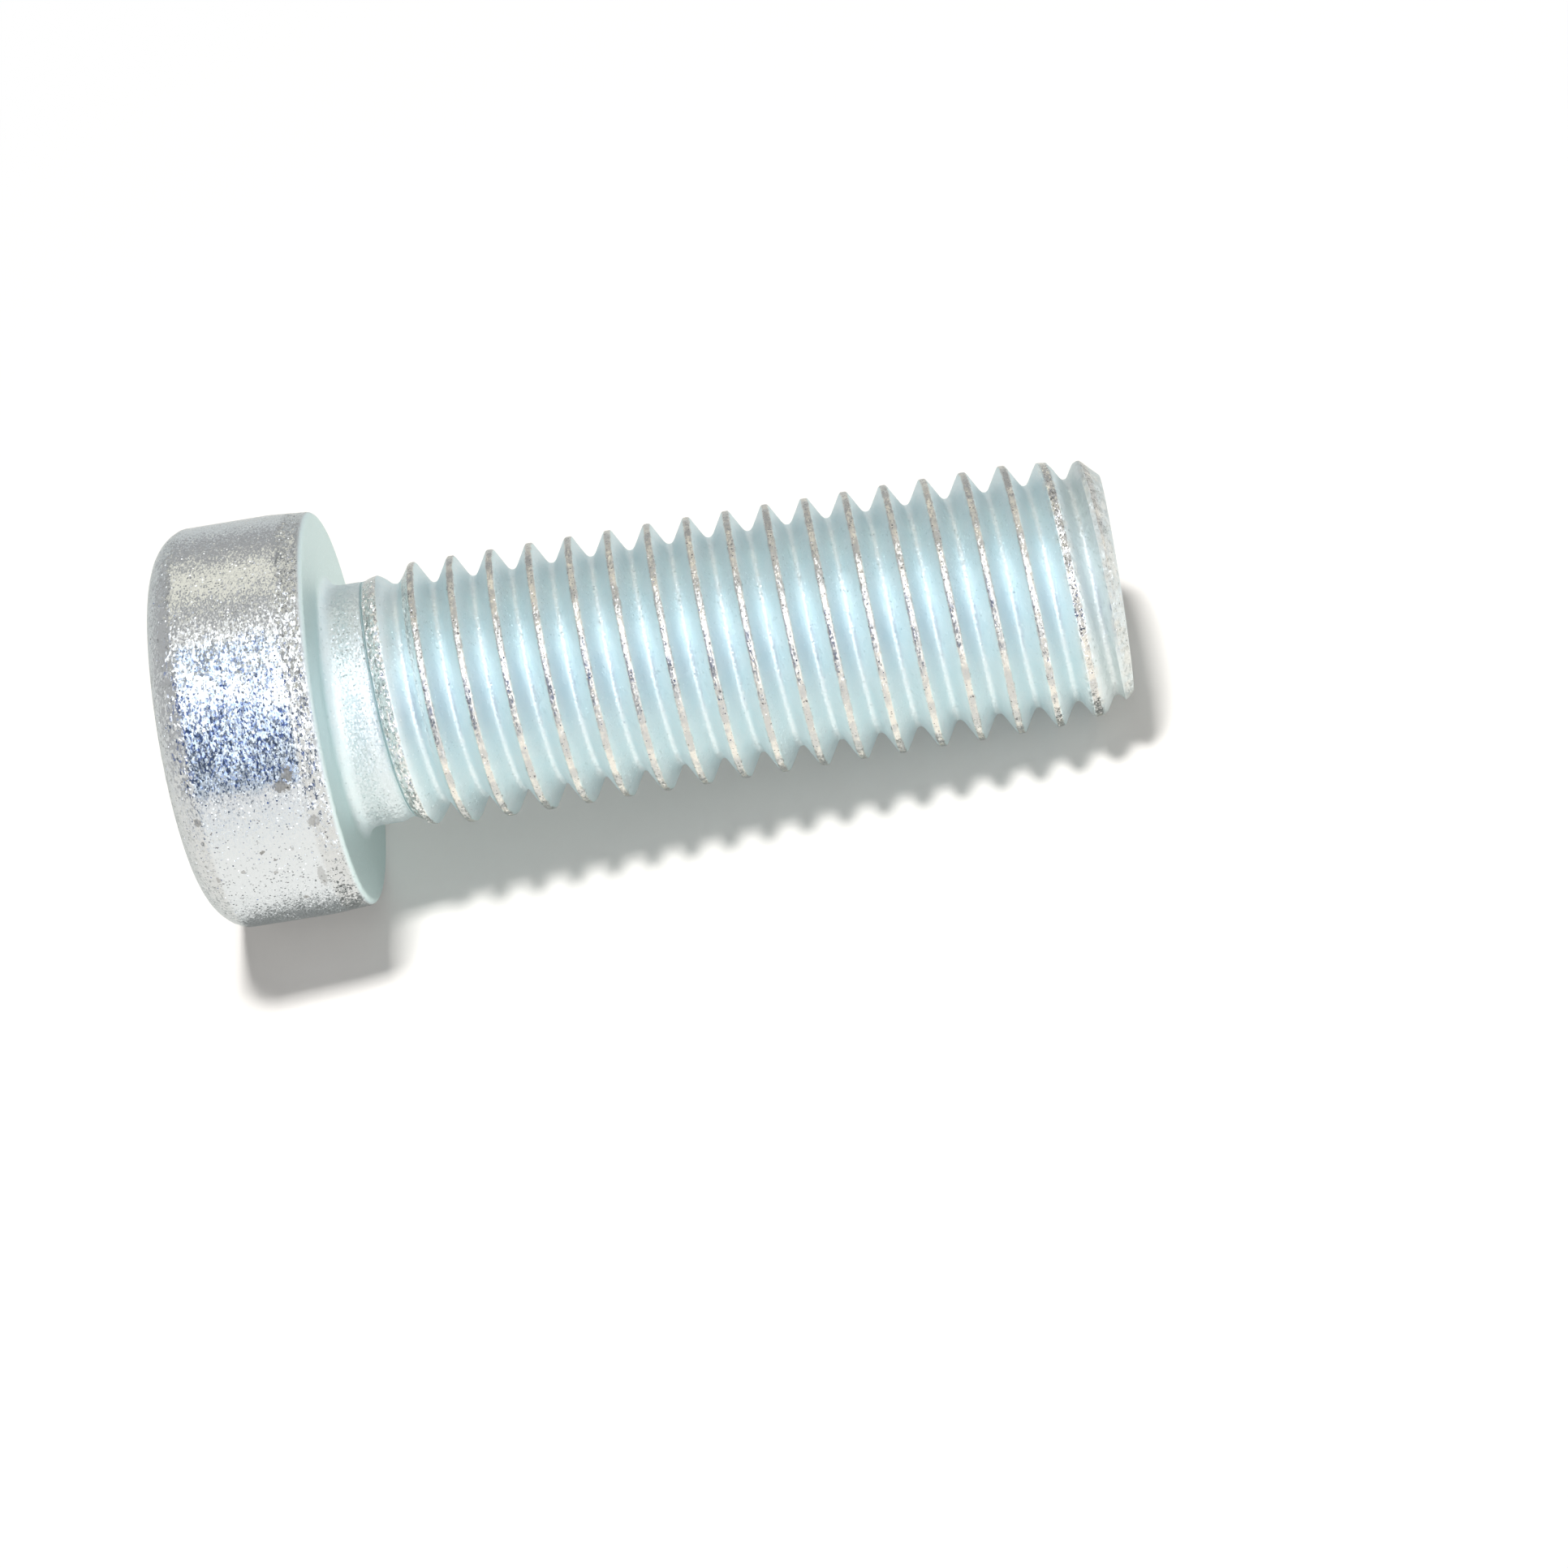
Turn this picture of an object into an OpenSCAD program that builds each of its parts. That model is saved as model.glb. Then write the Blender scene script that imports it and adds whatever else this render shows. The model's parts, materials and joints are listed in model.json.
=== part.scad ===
// Hex socket cap screw with a low head: M12 coarse thread, 35 mm nominal length.
// It is forged and thread-rolled from one blank, so it is one solid.
// The screw is drawn about its own axis, with the bearing face at z = 0, the head below it and
// the thread above it, and is then laid down on its head rim and its last thread crest.

/* [Head] */
// Diameter of the head
head_d = 17.85; // [16:0.05:20]
// Height of the head from the bearing face to the socket face
head_h = 7; // [6:0.1:9]
// Width of the 45 degree chamfer round the socket face
head_chamfer = 1.25; // [0.4:0.05:2]
// How far the forged chamfer bulges out of a straight cut
chamfer_bulge = 0.2; // [0.05:0.05:0.3]
// Length over which the side of the head draws in towards the bearing face
rim_draw_l = 1.9; // [0.9:0.1:3]
// How far it draws in
rim_draw = 0.15; // [0:0.05:0.3]
// Radius of the worn edge round the bearing face
rim_r = 0.3; // [0.1:0.05:0.8]

/* [Socket] */
// Key size, across the flats of the hexagon
socket_af = 8; // [5:0.5:9]
// Depth of the hexagon's corners from the socket face
socket_depth = 3.7; // [3:0.1:4.2]
// How far the cone of the mouth stands outside the flats, at the socket face
mouth_flare = 0.5; // [0.1:0.05:0.8]
// Depth at which the cone of the mouth runs out on the flats
mouth_depth = 1.6; // [0.4:0.1:2.5]
// Width of the sloping ring round the floor, measured from the flats
floor_ring = 0.6; // [0.2:0.1:1.5]
// Depth of the dish in the middle of the floor
floor_dish = 0.25; // [0.05:0.05:0.5]

/* [Shank] */
// Length of the shank from the bearing face to the end
shank_l = 34.4; // [25:0.1:50]
// Radius of the fillet between the bearing face and the neck
fillet_r = 0.7; // [0.3:0.05:1]
// Length of the plain neck under the head
neck_l = 1.5; // [1.2:0.1:6]
// Length over which the thread rises from the neck
runout_l = 2.55; // [0.8:0.05:4]

/* [Thread] */
// Diameter over the thread crests
thread_d = 11.75; // [10:0.05:13]
// Distance from one crest to the next
thread_pitch = 1.75; // [1.6:0.05:2.5]
// Width of the flat crest
crest_w = 0.28; // [0.15:0.01:0.35]
// Depth of the groove between two crests, without its rounded bottom
thread_depth = 1; // [0.8:0.05:1]
// Depth of the rounded bottom of the groove
root_round = 0.04; // [0.02:0.02:0.1]
// How far the edge of the flat end lies inside the bottom of the groove
end_inset = 0.05; // [0.05:0.05:0.6]
// Length of the lead, where the rolled crests fill up less and less towards the end
lead_l = 3.9; // [1:0.1:6]
// How far the crests would be lowered at the end
lead_drop = 0.4; // [0.05:0.05:0.6]
// Distance from the bearing face to the middle of a crest, on the side that faces up
thread_phase = 4.17; // [3.5:0.01:5.5]
// Facets round the thread
thread_facets = 36; // [24:2:48]

/* [Hidden] */
$fn = 96;
steel = [0.74, 0.78, 0.82];
flank_angle = 30;
floor_angle = 30;
// Smallest distance of a thread point from the two flat ends of the thread, against slivers
end_clear = 0.04;
// Step at the start of the thread, which keeps its facets inside the round neck
start_step = 0.02;
// Overlap that keeps cut faces from coinciding
cut = 0.5;
// Straight parts of the bulging chamfer
bulge_steps = 6;

head_r = head_d / 2;
thread_r = thread_d / 2;
root_r = thread_r - thread_depth;
// Rolling raises the crests out of the groove, so the blank has the mean radius
neck_r = (thread_r + root_r) / 2;
start_r = neck_r - start_step;
end_r = root_r - root_round - end_inset;
socket_flat_r = socket_af / 2;
socket_corner_r = socket_flat_r / cos(30);
mouth_slope = mouth_flare / mouth_depth;
// Heights of the socket face and of the socket floor, which slopes in from the corners
face_z = -head_h;
floor_r = socket_flat_r - floor_ring;
floor_z = face_z + socket_depth + (socket_corner_r - floor_r) * tan(floor_angle);
rim_outer_r = head_r - rim_draw;
rim_centre_r = rim_outer_r - rim_r;

// The chamfer is an arc between the ends of the straight cut
chord = head_chamfer * sqrt(2);
bulge_r = (chord * chord / 4 + chamfer_bulge * chamfer_bulge) / (2 * chamfer_bulge);
bulge_half = asin(chord / 2 / bulge_r);
bulge_inset = (head_chamfer / 2) + (bulge_r - chamfer_bulge) / sqrt(2);
chamfer_arc = [
    for (i = [0:bulge_steps])
        let (angle = -45 + bulge_half * (2 * i / bulge_steps - 1))
        [head_r - bulge_inset + bulge_r * cos(angle), face_z + bulge_inset + bulge_r * sin(angle)]
];

// Thread profile in one pitch: distance along the axis from the start of a crest, and radius
flank_w = thread_depth * tan(flank_angle);
root_w = thread_pitch - crest_w - 2 * flank_w;
profile = [
    [0, thread_r],
    [crest_w, thread_r],
    [crest_w + flank_w, root_r],
    [crest_w + flank_w + root_w / 2, root_r - root_round],
    [crest_w + flank_w + root_w, root_r]
];
levels = len(profile);

// Column k of the thread stands at an even angle, with a facet towards the floor
function column_angle(k) = 360 * (k + 0.5) / thread_facets;

// Height of level g in column k. The levels climb one pitch in a turn, to the right.
function level_z(g, k) = thread_phase - crest_w / 2 + thread_pitch * column_angle(k) / 360
    + thread_pitch * floor(g / levels) + profile[g - levels * floor(g / levels)][0];

// Radius of level g in column k: it fades in over the run-out, and is lowered by the lead and
// cut by the end chamfer
function level_r(g, k) =
    let (z = level_z(g, k),
         full = profile[g - levels * floor(g / levels)][1],
         rise = min(1, max(0, (z - neck_l) / runout_l)),
         rolled = start_r + (full - start_r) * rise,
         lead_r = thread_r - lead_drop * (1 - (shank_l - z) / lead_l))
    min(rolled, lead_r, end_r + shank_l - z);

function polar(r, angle, z) = [r * cos(angle), r * sin(angle), z];

// First level above height z in column k, counted from far below the screw
function first_above(z, k, g) = level_z(g, k) > z ? g : first_above(z, k, g + 1);

lowest = -levels * ceil(thread_phase / thread_pitch + 2);
low = [for (k = [0:thread_facets]) first_above(neck_l + end_clear, k, lowest)];
high = [for (k = [0:thread_facets]) first_above(shank_l - end_clear, k, low[k]) - 1];
counts = [for (k = [0:thread_facets - 1]) high[k] - low[k] + 1];
starts = [for (k = 0, s = 0; k < thread_facets; s = s + counts[k], k = k + 1) s];
columns_end = starts[thread_facets - 1] + counts[thread_facets - 1];

// Index of the point at level g of column k. The column after the last is the first one,
// one pitch higher.
function point(g, k) = k < thread_facets ? starts[k] + g - low[k] : starts[0] + g + levels - low[0];
function start_ring(k) = columns_end + k % thread_facets;
function end_ring(k) = columns_end + thread_facets + k % thread_facets;

// Faces between columns k and k + 1: the strip that both have, then the steps at its two ends
function strip(k) =
    let (bottom = max(low[k], low[k + 1]), top = min(high[k], high[k + 1]))
    concat(
        [for (g = [bottom:1:top - 1]) [point(g, k), point(g + 1, k), point(g + 1, k + 1)]],
        [for (g = [bottom:1:top - 1]) [point(g, k), point(g + 1, k + 1), point(g, k + 1)]],
        [[start_ring(k), point(low[k], k), start_ring(k + 1)]],
        [for (g = [low[k + 1]:1:low[k] - 1]) [point(low[k], k), point(g + 1, k + 1), point(g, k + 1)]],
        [[start_ring(k + 1), point(low[k], k), point(low[k + 1], k + 1)]],
        [[end_ring(k + 1), point(high[k + 1], k + 1), end_ring(k)]],
        [for (g = [high[k + 1]:1:high[k] - 1]) [point(g, k), point(g + 1, k), point(high[k + 1], k + 1)]],
        [[point(high[k], k), end_ring(k), point(high[k + 1], k + 1)]]
    );

thread_points = concat(
    [for (k = [0:thread_facets - 1]) for (g = [low[k]:high[k]])
        polar(level_r(g, k), column_angle(k), level_z(g, k))],
    [for (k = [0:thread_facets - 1]) polar(start_r, column_angle(k), neck_l)],
    [for (k = [0:thread_facets - 1]) polar(end_r, column_angle(k), shank_l)]
);
thread_faces = concat(
    [for (k = [0:thread_facets - 1]) for (face = strip(k)) face],
    [[for (k = [0:thread_facets - 1]) start_ring(k)]],
    [[for (k = [thread_facets - 1:-1:0]) end_ring(k)]]
);

// Angle at which the screw lies on its head and on a thread point at height z and radius r. The
// head touches with its worn edge, or with the shoulder where its side starts to draw in.
function rim_angle(z, r) =
    let (drop = rim_centre_r - r, reach = z + rim_r)
    acos(-rim_r / norm([drop, reach])) - atan2(reach, drop);
function shoulder_angle(z, r) = atan2(head_r - r, z + rim_draw_l);

// The lowest column lies beside the facet towards the floor, and its first touching point counts
lowest_column = thread_facets / 2;
contact_share = cos(180 / thread_facets);
lie_angle = min([
    for (k = [lowest_column - 1:lowest_column]) for (g = [low[k]:high[k]])
        let (z = level_z(g, k), r = level_r(g, k) * contact_share)
        max(rim_angle(z, r), shoulder_angle(z, r))
]);
rest_h = max(
    rim_centre_r * cos(lie_angle) - rim_r * sin(lie_angle) + rim_r,
    head_r * cos(lie_angle) - rim_draw_l * sin(lie_angle)
);
head_reach = max([for (p = chamfer_arc) p[0] * sin(lie_angle) - p[1] * cos(lie_angle)]);
end_reach = shank_l * cos(lie_angle) + end_r * sin(lie_angle);

module head() {
    rotate_extrude()
        union() {
            polygon(concat(
                [[0, face_z]],
                chamfer_arc,
                [
                    [head_r, -rim_draw_l],
                    [rim_outer_r, -rim_r],
                    [rim_centre_r, -rim_r],
                    [rim_centre_r, 0],
                    [0, 0]
                ]
            ));
            translate([rim_centre_r, -rim_r])
                intersection() {
                    circle(rim_r);
                    square(rim_r + cut);
                }
        }
}

module neck() {
    cylinder(r = neck_r, h = neck_l);
    rotate_extrude()
        difference() {
            square([neck_r + fillet_r, fillet_r]);
            translate([neck_r + fillet_r, fillet_r])
                circle(fillet_r);
        }
}

module socket() {
    intersection() {
        translate([0, 0, face_z - cut])
            cylinder(r = socket_corner_r, h = head_h, $fn = 6);
        rotate_extrude()
            polygon([
                [0, face_z - 2 * cut],
                [socket_corner_r + cut, face_z - 2 * cut],
                [socket_corner_r + cut, face_z + socket_depth - cut * tan(floor_angle)],
                [floor_r, floor_z],
                [0, floor_z + floor_dish]
            ]);
    }
    translate([0, 0, face_z - cut])
        cylinder(r1 = socket_flat_r + mouth_flare + cut * mouth_slope,
                 r2 = socket_flat_r - cut * mouth_slope, h = mouth_depth + 2 * cut);
}

module thread() {
    polyhedron(thread_points, thread_faces, convexity = 10);
}

module lying() {
    translate([(end_reach - head_reach) / 2, 0, rest_h])
        rotate([0, -90 - lie_angle, 0])
            children();
}

module cap_screw() {
    color(steel)
        lying() {
            difference() {
                union() {
                    head();
                    neck();
                }
                socket();
            }
            thread();
        }
}

cap_screw();
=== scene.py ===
# %% [markdown]
# # A hex socket cap screw in blue zinc
#
# The real screw starts as a length of steel wire. A press forges the head and pushes the hexagon
# into it, two flat dies roll the thread, and a tumbling bath plates it with zinc, which is then
# dipped until it has its faint blue colour. The lesson follows the same order: shape, wear, finish.
#
# The packed CAD model is the frame of everything here. It says how big the screw is and how it
# lies, and the piece made below takes its place.

# %% Load the frame
import json

import bpy
import numpy as np
from mathutils import Matrix, Vector


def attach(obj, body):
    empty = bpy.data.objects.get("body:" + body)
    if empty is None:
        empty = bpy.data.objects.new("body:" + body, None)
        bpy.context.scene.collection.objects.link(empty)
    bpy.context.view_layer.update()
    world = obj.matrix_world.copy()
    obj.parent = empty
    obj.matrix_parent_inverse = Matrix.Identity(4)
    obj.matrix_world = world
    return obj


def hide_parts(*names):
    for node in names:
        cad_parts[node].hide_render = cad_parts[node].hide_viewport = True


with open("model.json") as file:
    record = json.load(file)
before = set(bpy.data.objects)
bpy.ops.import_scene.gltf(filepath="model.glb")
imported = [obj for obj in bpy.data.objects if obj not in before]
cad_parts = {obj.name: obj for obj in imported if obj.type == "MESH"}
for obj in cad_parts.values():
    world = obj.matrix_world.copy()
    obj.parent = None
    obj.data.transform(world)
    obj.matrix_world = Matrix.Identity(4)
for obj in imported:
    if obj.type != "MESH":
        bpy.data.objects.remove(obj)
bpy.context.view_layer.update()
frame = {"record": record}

# %% [markdown]
# ## The screw's own frame
#
# A turned or rolled part is easiest to describe about its own axis. In the screw's frame the
# bearing face is at height 0, the thread climbs to positive heights, the head goes down to
# negative ones, and azimuth 0 is the side that faces up when the screw lies on the floor.
# The mounts of the packed record say where the two ends are, which is enough to find that frame.

# %% Find the screw's frame
MM = 0.001
HEAD_H = 7.0
SHANK_L = 34.4

mounts = {mount["name"]: mount for mount in frame["record"]["mounts"]}
face_centre = np.array(mounts["hex_socket"]["pos_m"])
end_centre = np.array(mounts["thread"]["pos_m"])
length = np.linalg.norm(end_centre - face_centre)
axis = (end_centre - face_centre) / length
across = np.array([0.0, 1.0, 0.0])
up = np.cross(across, axis)
origin = face_centre + axis * HEAD_H * MM
print("length", round(length / MM, 3), "mm, drawn as", HEAD_H + SHANK_L)


def place(points):
    """Screw millimetres to world metres: the origin plus x along up, y along across, z along the
    axis."""
    return origin + MM * (points @ np.array([up, across, axis]))


# %% [markdown]
# ## A grid that wraps round the screw
#
# The whole screw is one surface: rows from the middle of the socket's floor, out over the head and
# down the shank to the middle of the end, and columns round the axis. 192 columns are 32 to a flat
# of the hexagon, and each of its corners falls exactly on a column.

# %% Columns and helpers for rows
COLUMNS = 192
azimuth = np.arange(COLUMNS) * 2 * np.pi / COLUMNS


def waves(position, count, slowest, fastest, seed, whole=False):
    """Uneven line: a sum of sine waves with drawn frequencies and phases, scaled to about 1.

    With whole frequencies the line closes on itself after one turn."""
    draw = np.random.default_rng(seed)
    frequency = draw.uniform(slowest, fastest, count)
    if whole:
        frequency = np.round(frequency)
    phase = draw.uniform(0, 2 * np.pi, count)
    size = draw.uniform(0.5, 1.0, count)
    total = np.sin(position[..., None] * frequency + phase) @ size
    return total / np.sqrt(np.sum(size ** 2) / 2)


def ring(radius, height):
    """One row: a radius and a height for every column, from numbers or arrays."""
    return np.stack(np.broadcast_arrays(radius + 0 * azimuth, height + 0 * azimuth))


def between(first, last, count, ends=True):
    """Rows from one ring to another, at even steps along the straight line between them."""
    steps = np.linspace(0, 1, count)
    if not ends:
        steps = (np.arange(count) + 1) / (count + 1)
    return [first * (1 - step) + last * step for step in steps]


print("columns", COLUMNS, "of", 360 / COLUMNS, "degrees")

# %% [markdown]
# ## The hexagon socket
#
# The punch that makes a socket is a hexagon with a sloping shoulder, so the floor of the socket
# slopes up to a flat ring and then dishes. Its mouth is opened by a cone, which cuts deepest in
# the middle of each flat and hardly touches the corners: that gives the six scallops. Pressed
# metal tears a little there, so the scallops get an uneven edge.

# %% Rows of the socket
SOCKET_FLAT = 4.0
SOCKET_DEPTH = 3.7
MOUTH_FLARE = 0.5
MOUTH_DEPTH = 1.6
MOUTH_LEAST = 0.05
CORNER_GAP = 0.03
FLOOR_RING = 0.6
FLOOR_DISH = 0.25
MOUTH_ROWS = 5
MOUTH_WAVE = 0.02
MOUTH_TEAR = 0.022
TEAR_DEPTH = 0.6
FACE_Z = -HEAD_H

from_flat = np.mod(azimuth, np.pi / 3) - np.pi / 6
hexagon = SOCKET_FLAT / np.cos(from_flat)
corner = SOCKET_FLAT / np.cos(np.pi / 6)
floor_r = SOCKET_FLAT - FLOOR_RING
floor_z = FACE_Z + SOCKET_DEPTH + (corner - floor_r) * np.tan(np.pi / 6)
mouth_r = np.maximum(SOCKET_FLAT + MOUTH_FLARE, hexagon + CORNER_GAP)
opened = (SOCKET_FLAT + MOUTH_FLARE - hexagon) / MOUTH_FLARE
mouth_z = FACE_Z + np.maximum(MOUTH_LEAST, opened * MOUTH_DEPTH)

floor_radii = np.array([0.45, 1.0, 1.5, 1.85, 2.0, 2.15, 2.6, 3.05, 3.3, floor_r])
floor_marks = np.array([0, 0, 0, 0, -0.02, 0, 0, 0, -0.015, 0])
floor_rows = [
    ring(r, floor_z + FLOOR_DISH * (1 - r / floor_r) + mark)
    for r, mark in zip(floor_radii, floor_marks)
]
wall_foot = ring(hexagon, floor_z - (hexagon - floor_r) * np.tan(np.pi / 6))
wall_top = ring(hexagon, mouth_z)
mouth = ring(mouth_r + MOUTH_WAVE * waves(azimuth, 24, 9, 70, 11, whole=True), FACE_Z)

socket_rows = (
    floor_rows
    + between(floor_rows[-1], wall_foot, 3)[1:]
    + between(wall_foot, wall_top, 9)[1:]
    + between(wall_top, mouth, MOUTH_ROWS + 1)[1:]
)
for i in range(-MOUTH_ROWS, -1):
    swell = np.sin(np.pi * (i + MOUTH_ROWS + 1) / (MOUTH_ROWS + 0.5))
    torn = np.minimum(1, (mouth_z - FACE_Z) / TEAR_DEPTH) * swell
    socket_rows[i][0] += MOUTH_TEAR * torn * waves(azimuth, 30, 20, 90, 20 + i, whole=True)
print("socket rows", len(socket_rows))

# %% [markdown]
# ## The head and the neck
#
# The outline of the head is a short path of straight lines with rounded corners. A corner is
# rounded by an arc that touches both of its sides, which is how a draughtsman would do it.
# Long stretches are divided, so that the facets stay small all over.


# %% Helpers for an outline
def rounded(corners, radii, steps):
    """Path through the corners, each replaced by an arc of its radius that touches both sides.

    The arc's ends lie radius * tan(turn / 2) from the corner, and its middle on the bisector."""
    path = [corners[0]]
    for before, here, after, radius in zip(corners, corners[1:], corners[2:], radii):
        back = (before - here) / np.linalg.norm(before - here)
        ahead = (after - here) / np.linalg.norm(after - here)
        half = np.arccos(np.clip(back @ ahead, -1, 1)) / 2
        middle = here + (back + ahead) / np.linalg.norm(back + ahead) * radius / np.sin(half)
        start = here + back * radius / np.tan(half) - middle
        finish = here + ahead * radius / np.tan(half) - middle
        turn = np.arccos(np.clip(start @ finish / radius ** 2, -1, 1))
        for step in np.linspace(0, 1, steps):
            part = np.sin((1 - step) * turn) * start + np.sin(step * turn) * finish
            path.append(middle + part / np.sin(turn))
    path.append(corners[-1])
    return np.array(path)


def bulging(first, last, bulge, steps):
    """Arc from first to last that stands out from the chord by the bulge in its middle.

    Its radius is (half chord squared + bulge squared) / (2 * bulge)."""
    half = np.linalg.norm(last - first) / 2
    arc_r = (half ** 2 + bulge ** 2) / (2 * bulge)
    along = (last - first) / (2 * half)
    outward = np.array([along[1], -along[0]])
    angle = np.linspace(-1, 1, steps)[:, None] * np.arcsin(half / arc_r)
    middle = (first + last) / 2 - outward * (arc_r - bulge)
    return middle + arc_r * (np.cos(angle) * outward + np.sin(angle) * along)


def filled(path, longest):
    """The same path with even steps put into every stretch that is longer than the longest."""
    pieces = [path[:1]]
    for start, finish in zip(path, path[1:]):
        count = int(np.ceil(np.linalg.norm(finish - start) / longest))
        steps = (np.arange(count)[:, None] + 1) / count
        pieces.append(start * (1 - steps) + finish * steps)
    return np.concatenate(pieces)


print("outlines can be rounded, bulged and filled")

# %% [markdown]
# The press leaves the chamfer a little bulged, and it draws the rim in where the metal flowed last.
# Under the head a fillet leads over to the neck, which is as thick as the blank was before rolling.

# %% Rows of the head and the neck
HEAD_R = 8.92
HEAD_CHAMFER = 1.25
CHAMFER_BULGE = 0.2
FACE_EDGE_R = 0.5
SIDE_EDGE_R = 0.8
RIM_DRAW = 0.15
RIM_DRAW_L = 1.9
RIM_DRAW_R = 6.0
RIM_R = 0.3
FILLET_R = 0.7
NECK_L = 1.5
NECK_R = 5.375
FACE_INNER_R = 6.2
ROW_GAP = 0.3

face_edge = np.array([HEAD_R - HEAD_CHAMFER, FACE_Z])
side_edge = np.array([HEAD_R, FACE_Z + HEAD_CHAMFER])
chamfer = bulging(face_edge, side_edge, CHAMFER_BULGE, 9)
head_top = rounded(
    np.array([[FACE_INNER_R, FACE_Z], face_edge, chamfer[2]]), [FACE_EDGE_R], 4)
head_side = rounded(
    np.array([
        chamfer[-3], side_edge, [HEAD_R, -RIM_DRAW_L], [HEAD_R - RIM_DRAW, 0],
        [NECK_R, 0], [NECK_R, NECK_L],
    ]),
    [SIDE_EDGE_R, RIM_DRAW_R, RIM_R, FILLET_R], 6)
outline = filled(np.concatenate([head_top, chamfer[3:-3], head_side]), ROW_GAP)
face_rows = between(mouth, ring(*outline[0]), 5, ends=False)
head_rows = face_rows + [ring(r, z) for r, z in outline]
print("head rows", len(head_rows))

# %% [markdown]
# ## The thread
#
# A thread is a profile that climbs while it turns: every column repeats the same rows, a little
# higher than the column before, and after one turn it is one pitch higher. The rows of the last
# column therefore join those of the first one a pitch further on. Rows that would lie beyond the
# neck or the end are gathered in the ring there, so the surface stays closed. The rows of one pitch
# lie closest at the crest and at the root, where the profile bends.

# %% The profile of the thread
PITCH = 1.75
THREAD_R = 5.875
ROOT_R = 4.875
ROOT_ROUND = 0.04
CREST_W = 0.28
FLANK_W = (THREAD_R - ROOT_R) * np.tan(np.pi / 6)
CREST_EDGE = 0.055
ROOT_EDGE = 0.085
MID_FLANK = 0.55
FOLD = 0.3

root_from = CREST_W + FLANK_W
root_to = PITCH - FLANK_W
root_middle = (root_from + root_to) / 2
profile_at = np.array([-PITCH + root_to, 0, CREST_W, root_from, root_middle, root_to, PITCH])
profile_r = np.array([ROOT_R, THREAD_R, THREAD_R, ROOT_R, ROOT_R - ROOT_ROUND, ROOT_R, THREAD_R])
levels = np.array([
    -0.055, -0.012, 0.03, 0.085, 0.14, 0.195, 0.25, 0.292, 0.335,
    0.5, 0.67, 0.79, 0.88, 0.95, 1.015, 1.08, 1.15, 1.24, 1.36, 1.53,
])


def thread_radius(u):
    """Radius at distance u from the start of a crest: the straight profile, averaged over a short
    window that is wider towards the root, so crests get small round edges and roots bigger ones."""
    window = np.where(u < MID_FLANK, CREST_EDGE, ROOT_EDGE)[..., None] * np.linspace(-1, 1, 9)
    inside = np.mod(u[..., None] + window + FOLD, PITCH) - FOLD
    return np.interp(inside, profile_at, profile_r).mean(axis=-1)


print("rows to one pitch", len(levels), "and a groove", round(THREAD_R - ROOT_R, 2), "mm deep")

# %% [markdown]
# Each row now gets its height. A second number, the travel, is the angle along the helix from the
# first turn to the last. Waves of the travel therefore run along a crest without a jump, and they
# move it up and down and wear it away by a few hundredths of a millimetre.

# %% Rows of the thread
THREAD_PHASE = 4.17
RUNOUT_L = 2.55
CREST_LEAN = 0.012
CREST_SWAY = 0.010
CREST_SPREAD = 0.010
CREST_WEAR = 0.012
CREST_REACH = 0.24
SIDE_REACH = 0.1
ROOT_REACH = 0.2

turns = np.arange(-4, 21)
u = np.tile(levels, len(turns))[:, None] + 0 * azimuth
turns_before = np.repeat(turns, len(levels))[:, None]
height = THREAD_PHASE - CREST_W / 2 + turns_before * PITCH + u + PITCH * azimuth / (2 * np.pi)
travel = 2 * np.pi * turns_before + azimuth

off_crest = u - CREST_W / 2
crest = np.clip(1 - np.abs(off_crest) / CREST_REACH, 0, 1)
root = np.clip(1 - np.abs(u - root_middle) / ROOT_REACH, 0, 1)
side = np.sign(off_crest) * np.clip(np.abs(off_crest) / SIDE_REACH, 0, 1)
lean = waves(travel, 60, 2, 42, 31) * CREST_LEAN + waves(travel, 20, 0.3, 3, 32) * CREST_SWAY
spread = waves(travel, 60, 4, 46, 33) * CREST_SPREAD
climb = np.minimum(1, np.maximum(0, (height - NECK_L) / RUNOUT_L))
radius = NECK_R + (thread_radius(u) - NECK_R) * climb
radius -= CREST_WEAR * crest * (1 + waves(travel, 60, 3, 44, 34)).clip(0, 2)
height = height + (crest > 0) * crest * (lean + side * spread)
print("thread rows", radius.shape[0])

# %% [markdown]
# The dies open towards the end of the screw, so the last crests are lower, and the end itself is
# cut at 45 degrees. Both are limits of the radius. The smaller of two numbers, a and b, is half of
# a + b - |a - b|; with a soft root in place of |a - b| the edge between them is round.

# %% The lead and the end
END_R = 4.80
LEAD_L = 3.9
LEAD_DROP = 0.4
LEAD_SOFT = 0.12

lead = THREAD_R - LEAD_DROP * (1 - (SHANK_L - height) / LEAD_L)
cone = END_R + SHANK_L - height
limit = np.minimum(lead, cone)
soft = LEAD_SOFT * np.clip((height - SHANK_L + LEAD_L) / LEAD_L, 0, 1)
cut = np.maximum(0, radius - limit)
radius = (radius + limit - np.sqrt((radius - limit) ** 2 + soft ** 2)) / 2
print("the lead and the cone take at most", round(cut[height < SHANK_L].max(), 2), "mm off")

# %% [markdown]
# ## One closed mesh
#
# The rows become points, which are numbered in the order head, thread, end. The thread rows that
# are gathered in a ring take the numbers of that ring, so nothing has to be merged afterwards.

# %% Number the points
RING_GAP = 0.03

smooth_rows = np.array(socket_rows + head_rows)
smooth_r, smooth_z = smooth_rows[:, 0], smooth_rows[:, 1]
end_rows = np.array([ring(END_R * part, SHANK_L) for part in (1, 0.94, 0.7, 0.4, 0.15)])
end_r, end_z = end_rows[:, 0], end_rows[:, 1]

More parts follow.
